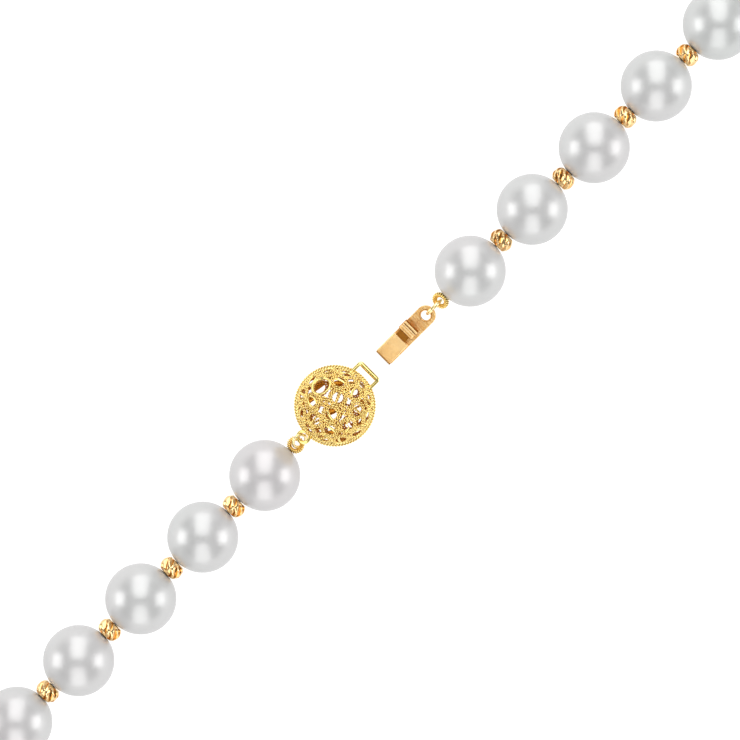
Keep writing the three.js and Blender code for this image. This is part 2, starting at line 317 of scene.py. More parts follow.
class Nodes:
    """A material's node tree, with short ways to add nodes and links."""

    def __init__(self, name):
        self.material = bpy.data.materials.new(name)
        self.material.use_nodes = True
        self.tree = self.material.node_tree
        self.shader = self.tree.nodes["Principled BSDF"]

    def add(self, kind, **values):
        node = self.tree.nodes.new(kind)
        for key, value in values.items():
            if key in node.inputs:
                node.inputs[key].default_value = value
            else:
                setattr(node, key, value)
        return node

    def link(self, start, end):
        self.tree.links.new(start, end)

    def place(self, stretch):
        coordinates = self.add("ShaderNodeTexCoord")
        mapping = self.add("ShaderNodeMapping")
        mapping.inputs["Scale"].default_value = stretch
        self.link(coordinates.outputs["Object"], mapping.inputs["Vector"])
        return mapping.outputs["Vector"]

    def noise(self, per_mm, detail=2.0, stretch=(1, 1, 1)):
        node = self.add("ShaderNodeTexNoise", Scale=per_mm / MM, Detail=detail)
        self.link(self.place(stretch), node.inputs["Vector"])
        return node.outputs["Fac"]

    def ramp(self, factor, low, high, start=0.3, end=0.7):
        node = self.add("ShaderNodeValToRGB")
        node.color_ramp.elements[0].position = start
        node.color_ramp.elements[1].position = end
        node.color_ramp.elements[0].color = (*low, 1)
        node.color_ramp.elements[1].color = (*high, 1)
        self.link(factor, node.inputs["Fac"])
        return node.outputs["Color"]

    def range(self, factor, low, high):
        """A noise's factor, which lies mostly from a quarter to three quarters, as low to high."""
        node = self.add("ShaderNodeMapRange")
        node.inputs["From Min"].default_value = 0.25
        node.inputs["From Max"].default_value = 0.75
        node.inputs["To Min"].default_value = low
        node.inputs["To Max"].default_value = high
        self.link(factor, node.inputs["Value"])
        return node.outputs["Result"]

    def bump(self, height, depth_mm):
        node = self.add("ShaderNodeBump", Strength=1.0, Distance=depth_mm * MM)
        self.link(height, node.inputs["Height"])
        self.link(node.outputs["Normal"], self.shader.inputs["Normal"])

    def set(self, **values):
        for key, value in values.items():
            self.shader.inputs[key.replace("_", " ")].default_value = value


def nacre_material():
    nodes = Nodes("nacre")
    tint = nodes.ramp(nodes.noise(0.045, 1), (0.555, 0.54, 0.543), (0.535, 0.55, 0.541))
    nodes.link(tint, nodes.shader.inputs["Base Color"])
    nodes.link(nodes.range(nodes.noise(0.6), 0.32, 0.38), nodes.shader.inputs["Roughness"])
    nodes.set(Metallic=0.38, IOR=1.4, Specular_Tint=(0.6, 0.6, 0.6, 1))
    nodes.set(Coat_Weight=0.35, Coat_Roughness=0.25, Coat_IOR=1.45)
    nodes.bump(nodes.noise(0.35, 1), 0.02)
    return nodes.material


# What gold is multiplied by where its painted shade is a half, and where it is one
AMBER_SHADE = (0.66, 0.36, 0.10)
DARK_SHADE = (0.16, 0.09, 0.03)


def gold_material(
    name, low, high, roughness, grain_per_mm, grain_mm, stretch=(1, 1, 1), tint_per_mm=0.8
):
    """Gold between two tints, darker with painted shade, and a grain that can be brushed one way."""
    nodes = Nodes(name)
    bright = nodes.ramp(nodes.noise(tint_per_mm, 3, stretch), low, high)
    # the painted shade of each point turns the gold amber, then dark brown
    painted_shade = nodes.add("ShaderNodeAttribute", attribute_name="painted_shade")
    shade = nodes.ramp(painted_shade.outputs["Fac"], (1, 1, 1), DARK_SHADE, 0.0, 1.0)
    amber = shade.node.color_ramp.elements.new(0.5)
    amber.color = (*AMBER_SHADE, 1)
    # for colours, the mix node's factor is input 0, A and B are 6 and 7, and the result is output 2
    mix = nodes.add("ShaderNodeMix", data_type="RGBA", blend_type="MULTIPLY")
    mix.inputs[0].default_value = 1.0
    nodes.link(bright, mix.inputs[6])
    nodes.link(shade, mix.inputs[7])
    nodes.link(mix.outputs[2], nodes.shader.inputs["Base Color"])
    rough = nodes.range(nodes.noise(grain_per_mm / 3, 3, stretch), *roughness)
    nodes.link(rough, nodes.shader.inputs["Roughness"])
    nodes.set(Metallic=1.0)
    nodes.bump(nodes.noise(grain_per_mm, 3, stretch), grain_mm)
    return nodes.material


def silk_material():
    nodes = Nodes("silk")
    tint = nodes.ramp(nodes.noise(2.0), (0.74, 0.71, 0.64), (0.84, 0.82, 0.76))
    nodes.link(tint, nodes.shader.inputs["Base Color"])
    nodes.set(Roughness=0.6, Sheen_Weight=0.4)
    nodes.bump(nodes.noise(20, 2, (1, 6, 6)), 0.01)
    return nodes.material


def floor_material():
    """A table top that shines by itself, so that it is as white as the backdrop."""
    nodes = Nodes("floor")
    tint = nodes.ramp(nodes.noise(0.01, 2), (0.14, 0.14, 0.14), (0.16, 0.16, 0.16))
    nodes.link(tint, nodes.shader.inputs["Base Color"])
    nodes.set(Roughness=0.9, Emission_Color=(1, 1, 1, 1), Emission_Strength=1.0)
    return nodes.material


NACRE = nacre_material()
WIRE_GOLD = gold_material("wire_gold", (0.87, 0.68, 0.23), (0.95, 0.77, 0.29), (0.08, 0.15), 12, 0.004)
RING_GOLD = gold_material("ring_gold", (0.93, 0.75, 0.38), (0.97, 0.82, 0.46), (0.22, 0.3), 6, 0.003)
CUT_GOLD = gold_material("cut_gold", (0.90, 0.62, 0.29), (0.96, 0.70, 0.36), (0.05, 0.10), 8, 0.002)
SATIN_GOLD = gold_material(
    "satin_gold", (0.92, 0.66, 0.33), (0.97, 0.72, 0.38), (0.38, 0.52), 9, 0.012, (0.3, 2, 2)
)
BASE_GOLD = gold_material(
    "brushed_gold", (0.78, 0.42, 0.12), (1.0, 0.72, 0.34), (0.34, 0.5), 5, 0.06, (3, 0.3, 1), 1.4
)
SILK = silk_material()


# ---------------------------------------------------------------- strand


def middle_of(node):
    """The middle of a CAD node's box, in millimetres."""
    low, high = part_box(node)
    return (Vector(low) + Vector(high)) / 2 / MM


def walk_arm():
    """Places of the beads from the middle pearl round to the clasp: (x, y, heading)."""
    at = Vector((PEARL_R, 0))
    heading = 0.0
    contact = 0
    pearls, spacers = [], []

    def bend():
        if contact < BACK_CONTACTS:
            return BACK_BEND
        return TURN_BEND if contact < BACK_CONTACTS + TURN_CONTACTS else 0.0

    for _ in range(ARM_PEARLS):
        for length, places in ((SPACER_SPACE, spacers), (2 * PEARL_R, pearls)):
            heading -= bend()
            contact += 1
            ahead = Vector((math.cos(heading), math.sin(heading)))
            places.append((*(at + ahead * length / 2), heading))
            at += ahead * length
    return pearls, spacers, at.y


def lay_strand():
    """{number: matrix} of pearls 1 to 43 and of the spacer after each, from the tongue's end."""
    pearls, spacers, front = walk_arm()
    right, left = middle_of("pearl_right_1"), middle_of("pearl_left_1")
    shift = Vector(((right.x + left.x) / 2, right.y - front))
    count = 2 * ARM_PEARLS + 1

    def matrix(x, y, heading):
        place = Matrix.Translation((x + shift.x, y + shift.y, right.z))
        return place @ Matrix.Rotation(heading, 4, "Z")

    def mirrored(x, y, heading):
        return matrix(-x, y, math.pi - heading)

    pearl_at = {ARM_PEARLS + 1: matrix(0, 0, 0)}
    spacer_at = {}
    for i in range(ARM_PEARLS):
        number = ARM_PEARLS - i
        pearl_at[number] = matrix(*pearls[i])
        spacer_at[number] = matrix(*spacers[i])
        pearl_at[count + 1 - number] = mirrored(*pearls[i])
        spacer_at[count - number] = mirrored(*spacers[i])
    return pearl_at, spacer_at, count


def owner(number, count, kind):
    """The body that a bead rides on, and the CAD node that it belongs to."""
    if number <= FRONT_PEARLS:
        node = f"{kind}_right_{number}"
        return node, node
    last = count - FRONT_PEARLS
    if kind == "pearl" and number > last:
        node = f"pearl_left_{count + 1 - number}"
        return node, node
    if kind == "spacer" and number >= last:
        node = f"spacer_left_{count - number}"
        return node, node
    # A spacer belongs to the section on the clasp's side of it
    pearl = number
    if kind == "spacer" and number > ARM_PEARLS:
        pearl = number + 1
    section = (pearl - FRONT_PEARLS - 1) // SECTION_PEARLS + 1
    node = f"strand_section_{section:02d}"
    return (node if node in frame["bodies"] else "root"), node


def pearl_surface(rng):
    """A pearl a little out of round, with a drilled hole whose mouths are slightly worn."""
    segments, arcs = 56, 36
    bore, bore_depth = 0.36, 2
    mouth = 0.07
    wave_count, wave_per_mm = 5, 0.75
    unroundness = 0.0022
    skin_r = 0.9 * PEARL_R
    start = math.asin((bore + mouth) / PEARL_R)
    profile = []
    for i in range(arcs + 1):
        a = start + (math.pi - 2 * start) * i / arcs
        profile.append((-PEARL_R * math.cos(a), PEARL_R * math.sin(a)))
    for side in (1, -1):
        depth = PEARL_R * math.cos(start)
        lip = [(depth - 0.02, bore + mouth / 2), (depth - 0.08, bore), (depth - bore_depth, bore)]
        profile += [(side * x, r) for x, r in (lip if side > 0 else reversed(lip))]
    surface = turned(profile, segments)
    points = surface.points[0]
    swell = np.zeros(len(points))
    for _ in range(wave_count):
        direction = Vector([rng.gauss(0, 1) for _ in range(3)]).normalized()
        phase = rng.uniform(0, TAU)
        swell += np.sin(points @ np.array(direction) * wave_per_mm + phase)
    out = 1 - unroundness * (1 + swell / wave_count)
    radius = np.linalg.norm(points, axis=1)
    surface.points[0] = points * np.where(radius > skin_r, out, 1)[:, None]
    return surface


def spacer_surface():
    """A barrel bead with rows of slanted, lens-shaped cuts, each a shallow V."""
    columns, per_column, rows = 10, 8, 40
    segments = columns * per_column
    end_gap = 0.12
    half = SPACER_SPACE / 2 - end_gap
    rim = 0.07
    slant = -0.9 / SPACER_R
    belly, belly_power = SPACER_R - SPACER_RIM_R, 2.2
    cut_length, cut_width, depth = 0.8, 0.48, 0.19
    least_width = 0.02
    dark_flank, bright_flank, shade_power = 1.0, 0.25, 0.45
    end = [
        (half - 0.02, SPACER_RIM_R),
        (half, SPACER_RIM_R - 0.04),
        (half - 0.04, SPACER_BORE_R + 0.05),
        (half - 0.09, SPACER_BORE_R),
    ]
    levels = [(-x, r, False) for x, r in reversed(end)]
    for x in np.linspace(rim - half, half - rim, rows + 1):
        levels.append((x, SPACER_R - belly * (abs(x) / half) ** belly_power, True))
    levels += [(x, r, False) for x, r in end]

    def cut_at(x, column, u):
        """How deep the metal is cut away. Every other column is shifted by half a cut."""
        shift = 0.0 if column % 2 else cut_length
        v = (x - shift + 3 * cut_length) % (2 * cut_length) - cut_length
        lens = 1 - (v / cut_length) ** 2
        wide = cut_width * lens
        return depth * lens * max(0.0, 1 - abs(u) / wide) if wide > least_width else 0.0

    points, painted_shades = [], []
    for x, radius, on_barrel in levels:
        for i in range(segments):
            column, across = divmod(i, per_column)
            u = (across - per_column / 2) / per_column
            cut = cut_at(x, column, u) if on_barrel else 0.0
            # shade painted into each cut, deepest at its bottom and darker on one flank than the other
            flank = dark_flank if u > 0 else bright_flank
            painted_shades.append(flank * (cut / depth) ** shade_power)
            angle = TAU * i / segments + slant * x
            reach = radius - cut
            points.append((x, reach * math.cos(angle), reach * math.sin(angle)))
    faces = turned_over(tube_faces(len(levels), segments, True))
    return Surface().add(points, faces, painted_shades)


def silk_surface(length):
    step, twist_pitch = 0.06, 1.1
    steps = round(length / step)
    path = [(length * (i / steps - 0.5), 0, 0) for i in range(steps + 1)]
    return rope(path, (0, 0, 1), SILK_R, twist_pitch, lobes=3, sides=9)


def make_strand():
    pearl_shapes = 6
    silk_end_gap = 0.08
    facet_edge = math.radians(22)
    pearl_at, spacer_at, count = lay_strand()
    shapes = [pearl_surface(random.Random(seed)) for seed in range(pearl_shapes)]
    spacer = spacer_surface()
    silk = silk_surface(2 * PEARL_R + SPACER_SPACE - silk_end_gap)
    towards_back = Matrix.Translation((-SPACER_SPACE / 2, 0, 0))
    rng = random.Random(43)
    named = set()

    def first_of(node):
        """What a bead stands for: its node, if it is the first bead of that node."""
        first = () if node in named else (node,)
        named.add(node)
        return first

    for number, place in sorted(pearl_at.items()):
        body, node = owner(number, count, "pearl")
        spin = Matrix.Rotation(rng.uniform(0, TAU), 4, "X")
        if number <= FRONT_PEARLS or number > count - FRONT_PEARLS:
            grown = Matrix.Scale(FRONT_PEARL_SCALE, 4)
            spin = Matrix.Translation((0, 0, FRONT_PEARL_LIFT)) @ spin @ grown
        shape = rng.choice(shapes).moved(place @ spin)
        name = f"nacre_pearl_{number:02d}"
        make_piece(name, shape, NACRE, body, stands_for=first_of(node))

        # the silk runs through a pearl and the spacer bead on the back's side of it
        link_place = place if number == ARM_PEARLS + 1 else place @ towards_back
        link = silk.moved(link_place)
        silk_node = node.replace("pearl", "silk")
        in_cad = silk_node != node and silk_node in frame["nodes"]
        stands_for = (silk_node,) if in_cad else ()
        make_piece(f"silk_thread_{number:02d}", link, SILK, body, stands_for=stands_for)

    for number, place in sorted(spacer_at.items()):
        body, node = owner(number, count, "spacer")
        spin = Matrix.Rotation(rng.uniform(0, TAU), 4, "X")
        shape = spacer.moved(place @ spin)
        make_piece(
            f"cut_spacer_{number:02d}", shape, CUT_GOLD, body,
            sharp=facet_edge, stands_for=first_of(node),
        )


# ---------------------------------------------------------------- clasp: links

# Each jump ring's radius and wire radius, where its seam is, and how far it leans
JUMP_RINGS = {
    "right": (1.065, 0.225, math.radians(110), 0.0),
    "left": (0.82, 0.175, math.radians(75), math.radians(45)),
}


def french_wire_surface():
    """A loop of fine wire wound round silk, lying in the XY plane about its centre."""
    turns, steps_per_turn, sides = 22, 12, 8
    winding_r, wire_r, core_r = 0.21, 0.1, 0.14
    lean = 0.35
    middle_r = LOOP_RING_R + 0.04
    path = []
    for i in range(turns * steps_per_turn):
        round_silk = TAU * i / steps_per_turn
        round_loop = round_silk / turns
        reach = middle_r + winding_r * math.cos(round_silk)
        height = winding_r * math.sin(round_silk)
        path.append((reach * math.cos(round_loop), reach * math.sin(round_loop), height))
    ups = [(x, y, lean) for x, y, _ in path]
    section = round_section(wire_r, sides)
    # shade painted on the sides of the wire, where one turn meets the next
    sideways = np.abs(np.sin(np.arange(sides) * TAU / sides))
    between = 0.45 * np.clip(1.6 * sideways - 0.7, 0, 1)
    surface = swept(path, ups, lambda i: section, True, lambda i: between)
    core = [(x, y, 0) for x, y in circle(LOOP_RING_R, 40)]
    return surface.join(wire(core, (0, 0, 1), core_r, closed=True))


def split_ring_surface(radius, wire_r):
    """A jump ring bent from round wire, with its two cut ends meeting at a fine seam."""
    steps, gap = 60, 0.05
    opening = gap / radius / 2
    turns = np.linspace(opening, TAU - opening, steps)
    path = [(radius * math.cos(a), radius * math.sin(a), 0) for a in turns]
    return wire(path, (0, 0, 1), wire_r, sides=16)


def make_links():
    for side in ("right", "left"):
        node = f"wire_loop_{side}"
        sign = -1 if side == "right" else 1
        droop = Matrix.Rotation(sign * LOOP_DROOP[side], 4, "Y")
        place = Matrix.Translation(middle_of(node)) @ droop
        loop = french_wire_surface().moved(place)
        make_piece(f"french_wire_{side}", loop, WIRE_GOLD, node, stands_for=(node,))
    for side, (radius, wire_r, seam, lean) in JUMP_RINGS.items():
        node = f"jump_ring_{side}"
        stand = Matrix.Rotation(math.pi / 2 - lean, 4, "X") @ Matrix.Rotation(seam, 4, "Z")
        place = Matrix.Translation(middle_of(node)) @ stand
        shape = split_ring_surface(radius, wire_r).moved(place)
        make_piece(
            f"split_{node}", shape, RING_GOLD, node,
            sharp=math.radians(40), stands_for=(node,),
        )


# ---------------------------------------------------------------- clasp: ball

ROPE_R = 0.15
ROPE_PITCH = 0.68
STRIP_R = BALL_R - 0.16
EDGE_HEIGHTS = (0.42, 0.78)

# Ringed cells of a dome, by their index from the pole down
CELL_R = 1.04
SMALL_CELL_R = 0.48
ROPE_STEP = 0.25
POLE_CELLS, MIDDLE_CELLS, EDGE_CELLS = 2, 8, 12
FIRST_MIDDLE = POLE_CELLS
FIRST_EDGE = POLE_CELLS + MIDDLE_CELLS
FIRST_SMALL = FIRST_EDGE + EDGE_CELLS
MOTIFS = ("bar", "leaf", "pair", "leaf", "scroll", "bar", "leaf")


def sphere_basis(polar, azimuth):
    """Unit vectors of a place on a sphere: away from its centre, down from its pole, and sideways."""
    away = Vector((
        math.sin(polar) * math.cos(azimuth),
        math.sin(polar) * math.sin(azimuth),
        math.cos(polar),
    ))
    down = Vector((
        math.cos(polar) * math.cos(azimuth),
        math.cos(polar) * math.sin(azimuth),
        -math.sin(polar),
    ))
    return away, down, away.cross(down)


def on_ball(basis, radius, across, along):
    """A point on a sphere, by its arc lengths (mm) across and along from a basis's middle."""
    away, down, side = basis
    flat = down * along + side * across
    angle = flat.length / BALL_R
    if angle == 0:
        return away * radius
    return (away * math.cos(angle) + flat.normalized() * math.sin(angle)) * radius


def laid_on_ball(basis, radius, flat_path):
    points = [on_ball(basis, radius, x, y) for x, y in flat_path]
    return np.array([tuple(p) for p in points])


def crescent(surface, flat_path, basis, widest):
    """A smooth strip on the ball, widest in the middle and a quarter of that at both ends."""
    sides, half_thick = 10, 0.09
    path = laid_on_ball(basis, STRIP_R, flat_path)
    steps = len(path) - 1

    def outline(i):
        width = max(0.25, math.sin(math.pi * i / steps)) * widest
        return round_section(half_thick, sides) * (1, width / half_thick)

    # shade painted on the side towards the ball's middle
    inside = 0.5 * np.clip(0.5 - 1.5 * np.cos(np.arange(sides) * TAU / sides), 0, 1)
    surface.join(swept(path, path, outline, False, lambda i: inside))


def bezel(surface, basis, size):
    """A plain round setting: a wire ring, and a taller one just inside and below it."""
    wire_r, steps = 0.1, 72
    ring = laid_on_ball(basis, BALL_R - 0.08, circle(size, steps))
    surface.join(wire(ring, ring, wire_r, sides=10, closed=True))
    ring = laid_on_ball(basis, BALL_R - 0.2, circle(size - 0.06, steps))
    surface.join(wire(ring, ring, wire_r, sides=10, closed=True, flat=1.6))


def filigree_cell(surface, basis, size, motif, turn, broad):
    """One ring of the dome, of two ropes side by side, and what it frames, its strips this broad."""
    inner = size - ROPE_STEP
    for radius, steps in ((size, 132), (inner, 108)):
        ring = laid_on_ball(basis, BALL_R - ROPE_R, circle(radius, steps))
        # shade painted on the inner side of each rope, and in its grooves
        surface.join(rope(ring, ring, ROPE_R, ROPE_PITCH, closed=True, inside=0.5))
    reach = inner - 0.05

    def spun(x, y):
        return (
            reach * (x * math.cos(turn) - y * math.sin(turn)),
            reach * (x * math.sin(turn) + y * math.cos(turn)),
        )

    turns = np.linspace(-math.pi / 2, math.pi / 2, 21)
    if motif == "leaf":
        bow = [spun(0.45 * math.cos(t) - 0.05, math.sin(t)) for t in turns]
        crescent(surface, bow, basis, 0.17 * broad)
    elif motif == "pair":
        for side in (-1, 1):
            bow = [spun(side * (0.55 * math.cos(t) + 0.1), 0.9 * math.sin(t)) for t in turns]
            crescent(surface, bow, basis, 0.11 * broad)
    elif motif == "scroll":
        for side in (-1, 1):
            bow = [spun(side * 0.5 * math.cos(t), side * (0.5 + 0.5 * math.sin(t))) for t in turns]
            crescent(surface, bow, basis, 0.13 * broad)
    elif motif == "bar":
        bar = [spun(0, t) for t in np.linspace(-1, 1, 40)]
        bar_r = ROPE_R + 0.03
        path = laid_on_ball(basis, BALL_R - bar_r, bar)
        surface.join(rope(path, path, bar_r, ROPE_PITCH))


def granule(surface, basis, size):
    """A small gold ball, half sunk between the cells."""
    centre = basis[0] * STRIP_R
    rings, sides = 6, 10
    points = []
    for i in range(rings + 1):
        a = math.pi * i / rings
        for j in range(sides):
            b = TAU * j / sides
            out = Vector((math.sin(a) * math.cos(b), math.sin(a) * math.sin(b), math.cos(a)))
            points.append(tuple(centre + size * out))
    surface.add(points, grid_faces(rings + 1, sides, False, True))


def dome_cells():
    """(polar, azimuth, radius) of the cells in degrees and mm, with two small ones last."""
    cells = [(13.2, 22 + 180 * k, CELL_R) for k in range(POLE_CELLS)]
    for k in range(MIDDLE_CELLS):
        azimuth = 79 + 45 * k
        polar = 40 - 3 * math.sin(math.radians(azimuth - 22)) ** 2
        cells.append((polar, azimuth, CELL_R))
    for k in range(EDGE_CELLS):
        cells.append((64, 86 + 30 * k, CELL_R - 0.02))
    cells += [(18, 112 + 180 * k, SMALL_CELL_R) for k in range(2)]
    return cells


def dome_surface(lower):
    """Half of the ball about its own centre: ringed cells, granules, and ropes at its edge."""
    surface = Surface()
    broad = 2.2 if lower else 1.0
    for index, (polar, azimuth, size) in enumerate(dome_cells()):
        at_edge = FIRST_EDGE <= index < FIRST_SMALL
        at_slot = math.cos(math.radians(azimuth)) > 0.9
        if lower and at_edge and at_slot:
            continue
        if lower:
            polar, azimuth = 180 - polar, azimuth + 7
        if index == FIRST_MIDDLE and not lower:
            basis = sphere_basis(math.radians(polar + 2), math.radians(azimuth))
            bezel(surface, basis, size + 0.1)
            continue
        motif = MOTIFS[(index * 3) % len(MOTIFS)] if index < FIRST_SMALL else "open"
        basis = sphere_basis(math.radians(polar), math.radians(azimuth))
        filigree_cell(surface, basis, size, motif, index * 2.3, broad)
    for k in range(8):
        polar, azimuth = (180 - 27 if lower else 27), 56.5 + 45 * k
        basis = sphere_basis(math.radians(polar), math.radians(azimuth))
        granule(surface, basis, 0.17)
    for height in EDGE_HEIGHTS:
        edge_r = math.sqrt((BALL_R - ROPE_R) ** 2 - height**2)
        z = -height if lower else height
        edge = [(x, y, z) for x, y in circle(edge_r, 480)]
        surface.join(rope(edge, edge, ROPE_R + 0.02, ROPE_PITCH, closed=True))
    return surface


def make_ball():
    middle = middle_of("seam_band")
    place = Matrix.Translation(middle)
    for node, lower in (("filigree_dome_upper", False), ("filigree_dome_lower", True)):
        shape = dome_surface(lower).moved(place)
        make_piece(f"rope_{node}", shape, WIRE_GOLD, "ball", stands_for=(node,))
    band_rope_r = 0.19
    band = [(x, y, 0) for x, y in circle(BALL_R + 0.01, 520)]
    shape = rope(band, band, band_rope_r, ROPE_PITCH, closed=True, sides=12).moved(place)
    make_piece("rope_seam_band", shape, WIRE_GOLD, "ball", stands_for=("seam_band",))
    make_ball_ring(middle)
    make_slot_plate(middle)
    make_keeper(middle)


def make_ball_ring(middle):
    """The ring soldered on the ball: an arc of wire whose two ends run into the ball."""
    low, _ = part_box("ball_ring")
    radius, wire_r = 0.66, 0.2
    into_ball = 0.35
    centre = Vector((low[0] / MM + radius + wire_r, middle.y, middle.z))
    out = (BALL_R + 0.1 - (middle.x - centre.x)) / radius
    reach = math.pi - math.acos(max(-1, min(1, -out))) + into_ball
    turns = np.linspace(math.pi - reach, math.pi + reach, 48)
    path = [(radius * math.cos(a), radius * math.sin(a), 0) for a in turns]
    shape = wire(path, (0, 0, 1), wire_r, sides=14).moved(Matrix.Translation(centre))
    make_piece("soldered_ring", shape, WIRE_GOLD, "ball", stands_for=("ball_ring",))


def make_slot_plate(middle):
    """The plate in the ball's open side, with the slot that the leaf's shoulders catch behind."""
    low, high = (Vector(v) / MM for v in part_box("slot_plate"))
    half_width = (high.y - low.y) / 2
    bottom, top = low.z - middle.z, high.z - middle.z
    corner = 0.3
    outline = (
        arc((half_width - corner, top - corner), corner, 0, math.pi / 2, 6)
        + arc((-half_width + corner, top - corner), corner, math.pi / 2, math.pi, 6)
        + arc((-half_width + corner, bottom + corner), corner, math.pi, 1.5 * math.pi, 6)
        + arc((half_width - corner, bottom + corner), corner, 1.5 * math.pi, TAU, 6)
    )
    slot_half, slot_top, slot_bottom = 1.2, -0.36, -1.2
    slot = [
        (slot_half, slot_top),
        (-slot_half, slot_top),
        (-slot_half, slot_bottom),
        (slot_half, slot_bottom),
    ]
    sheet = plate(outline, high.x - low.x, [slot])
    # the sheet's x and y become the row frame's y and z
    stand = Matrix(((0, 0, 1, 0), (1, 0, 0, 0), (0, 1, 0, 0), (0, 0, 0, 1)))
    place = Matrix.Translation((low.x, middle.y, middle.z)) @ stand
    make_piece(
        "catch_plate", sheet.moved(place), SATIN_GOLD, "ball",
        sharp=math.radians(30), stands_for=("slot_plate",),
    )


def make_keeper(middle):
    """The rectangular frame of flat wire on the ball's open side, broader across its far end."""
    low, high = (Vector(v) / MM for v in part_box("keeper_frame"))
    far_bar, side_bar = 0.56, 0.42
    half_thick = 0.18
    bend = 0.24
    out = high.x - far_bar / 2
    half = (high.y - low.y) / 2 - side_bar / 2 + 0.06
    root = middle.x + math.sqrt((BALL_R - 0.05) ** 2 - half**2)
    path = [(root, -half)]
    path += arc((out - bend, -half + bend), bend, -math.pi / 2, 0, 8)
    path += arc((out - bend, half - bend), bend, 0, math.pi / 2, 8)
    path += [(root, half)]
    z = (low.z + high.z) / 2
    points = [(x, y + middle.y, z) for x, y in path]

    def outline(i):
        far = min(1.0, max(0.0, (path[i][0] - out + bend) / bend))
        bar = side_bar + (far_bar - side_bar) * far
        return round_section(half_thick, 16) * (1, bar / (2 * half_thick))

    shape = swept(points, (0, 0, 1), outline, False)
    make_piece(
        "wire_keeper", shape, WIRE_GOLD, "ball",
        sharp=math.radians(35), stands_for=("keeper_frame",),
    )


# ---------------------------------------------------------------- clasp: tongue

# In the tongue's own frame, with X from its tip along the strip and Z up from its underside
BASE_HALF_WIDTH = 1.15
BASE_THICK = 0.35
BASE_HOLE = 7.28
BASE_HOLE_R = 0.6
LEAF_HALF_WIDTH = 1.07
LEAF_THICK = 0.28
LEAF_SHOULDER = 3.5
LEAF_NECK_HALF_WIDTH = 0.7
LEAF_UNDERSIDE = 0.42
LEAF_HINGE = 0.25
LEAF_SIDE_STEP = 0.05
TAB_SIDE_STEP = 0.16


def tongue_place():
    low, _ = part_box("tongue_base")
    x = low[0] / MM + BASE_THICK * math.sin(TONGUE_TILT)
    y = middle_of("tongue_base").y
    return Matrix.Translation((x, y, low[2] / MM)) @ Matrix.Rotation(-TONGUE_TILT, 4, "Y")


def base_sheet():
    """The base from the fold to its round end, with a raised rim round its hole."""
    half, start = BASE_HALF_WIDTH, 0.3
    outline = [(start, half), (start, -half)]
    outline += arc((BASE_HOLE, 0), half, -math.pi / 2, math.pi / 2, 28)
    hole = arc((BASE_HOLE, 0), BASE_HOLE_R, 0, TAU, 40)[:-1]
    sheet = plate(outline, BASE_THICK, [hole], bevel=0.05)

    rim_r = 0.08
    rim = [(BASE_HOLE + x, y, BASE_THICK) for x, y in circle(BASE_HOLE_R + 0.06, 48)]
    section = round_section(rim_r, 12)
    # shade painted on the rim's side that faces the hole
    facing_hole = np.clip(0.1 - 1.2 * section[:, 1] / rim_r, 0, 1)
    sheet.join(swept(rim, (0, 0, 1), lambda i: section, True, lambda i: facing_hole))

    # a thin wall lines the hole, painted in shade
    near, far = BASE_HOLE_R - 0.01, BASE_HOLE_R + 0.03
    foot, head = 0.03, BASE_THICK - 0.01
    wall = turned([(foot, far), (head, far), (head, near), (foot, near)], 40).in_painted_shade(0.9)
    upright = Matrix.Translation((BASE_HOLE, 0, 0)) @ Matrix.Rotation(-math.pi / 2, 4, "Y")
    return sheet.join(wall, upright)


def leaf_sheet():
    """The leaf from the fold to its shoulders, and its thinner neck, from z = 0 up."""
    half, neck = LEAF_HALF_WIDTH, LEAF_NECK_HALF_WIDTH
    start, corner = 0.2, 0.12
    inside = LEAF_SHOULDER - corner
    outline = [(start, -half), (inside, -half)]
    outline += arc((inside, -half + corner), corner, -math.pi / 2, 0, 4)
    outline += arc((inside, half - corner), corner, 0, math.pi / 2, 4)
    outline += [(start, half)]
    sheet = plate(outline, LEAF_THICK, bevel=0.07)

    neck_start, neck_end = LEAF_SHOULDER - 0.1, 4.45
    neck_lift, neck_thick = 0.03, LEAF_THICK - 0.08
    strip = [(neck_start, -neck), (neck_end, -neck), (neck_end, neck), (neck_start, neck)]
    # the neck is painted in shade
    web = plate(strip, neck_thick, bevel=0.03).in_painted_shade(0.78)
    return sheet.join(web, Matrix.Translation((0, TAB_SIDE_STEP, neck_lift)))


def tab_profile():
    """The thumb tab's outline along the leaf, (x, z), and how much shade is painted at each point."""
    groove_depth, groove_every = 0.018, 4
    # shade painted along the rolls' edges, in the grooves and underneath
    edge_painted_shade, groove_painted_shade, under_painted_shade = 1.0, 0.45, 0.6
    # the centre, half length, foot, height and steps of the broad brushed roll, then of the lip
    rolls = ((4.86, 0.56, 0.13, 0.42, 22), (5.60, 0.17, 0.46, 0.16, 12))
    profile, painted_shades = [], []
    for index, (centre, half_length, foot, height, steps) in enumerate(rolls):
        for k, a in enumerate(np.linspace(math.pi, 0, steps + 1)):
            grooved = index == 0 and 3 < k < steps - 2 and k % groove_every == 2
            z = foot + height * math.sin(a) - (groove_depth if grooved else 0.0)
            profile.append((centre + half_length * math.cos(a), z))
            at_edge = math.cos(a) < -0.74 or math.cos(a) > 0.85
            top_painted_shade = groove_painted_shade if grooved else 0.0
            painted_shades.append(edge_painted_shade if at_edge else top_painted_shade)
    under = [(5.77, 0.30), (5.74, 0.0), (4.42, 0.0), (4.31, 0.06)]
    return profile + under, painted_shades + [under_painted_shade] * len(under)


